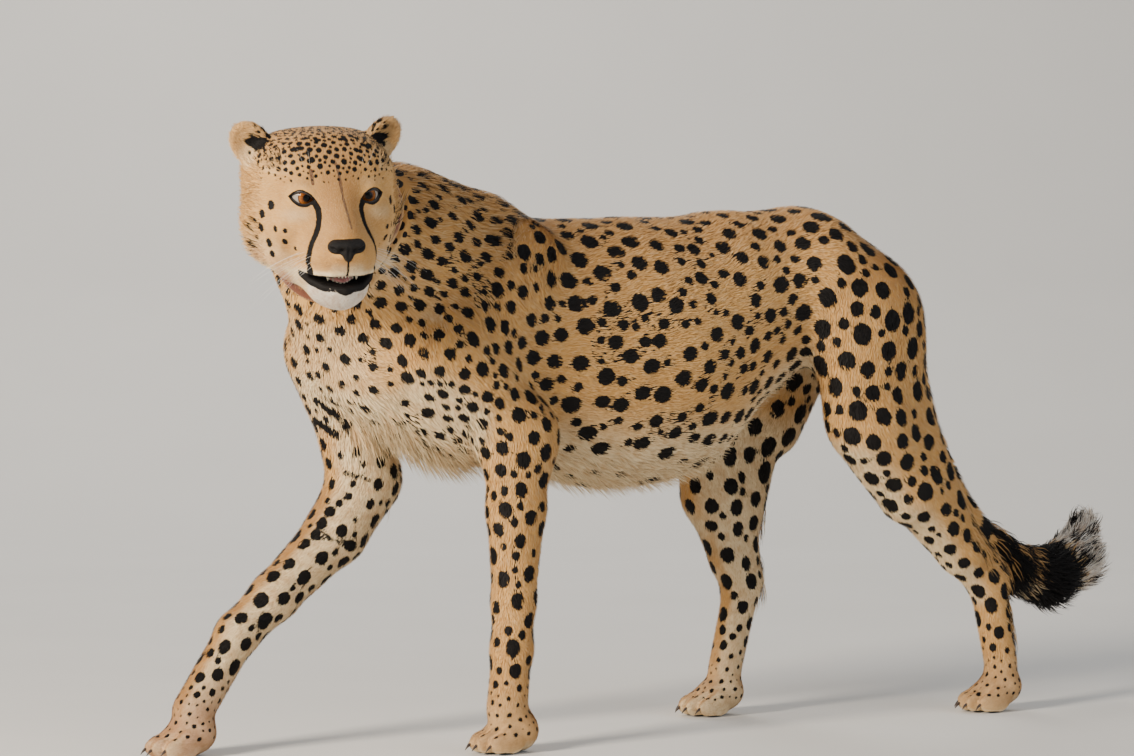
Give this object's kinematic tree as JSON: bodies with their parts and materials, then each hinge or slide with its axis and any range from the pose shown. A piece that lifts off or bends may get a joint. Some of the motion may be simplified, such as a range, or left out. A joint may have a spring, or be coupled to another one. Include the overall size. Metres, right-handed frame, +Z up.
{
  "type": "cheetah figure",
  "caption": "Life-size cheetah caught in mid stride, its head turned to its left with the mouth slightly open, the tail hooked up at its end, and a plain strap round its neck.",
  "frame": {"origin": "centre of the bounding box's base, on the ground", "axes": "+X the way the animal walks, +Y to its left, +Z up"},
  "size_m": [1.5884, 0.3908, 0.862],
  "materials": {
    "coat": "short fur, tawny with solid black spots",
    "coat_pale": "short fur, cream",
    "coat_black": "long fur, black",
    "eye": "wet amber",
    "nose": "damp black skin",
    "tongue": "wet pink skin",
    "tooth": "ivory",
    "collar": "worn brown leather strap"
  },
  "bodies": {
    "root": {"foreleg_left_upper": "coat", "foreleg_left_lower": "coat", "forepaw_left": "coat", "foreleg_right_upper": "coat", "foreleg_right_lower": "coat", "forepaw_right": "coat", "hindleg_left_upper": "coat", "hindleg_left_lower": "coat", "hindpaw_left": "coat", "hindleg_right_upper": "coat", "hindleg_right_lower": "coat", "hindpaw_right": "coat", "torso": "coat", "neck": "coat", "collar": "collar", "tail_root": "coat", "tail_middle": "coat", "tail_end": "coat_black", "head": "coat", "lower_jaw": "coat_pale", "eye_left": "eye", "eye_right": "eye", "nose": "nose", "ear_left": "coat", "ear_right": "coat", "tongue": "tongue", "teeth_lower": "tooth", "teeth_upper": "tooth"}
  },
  "joints": []
}
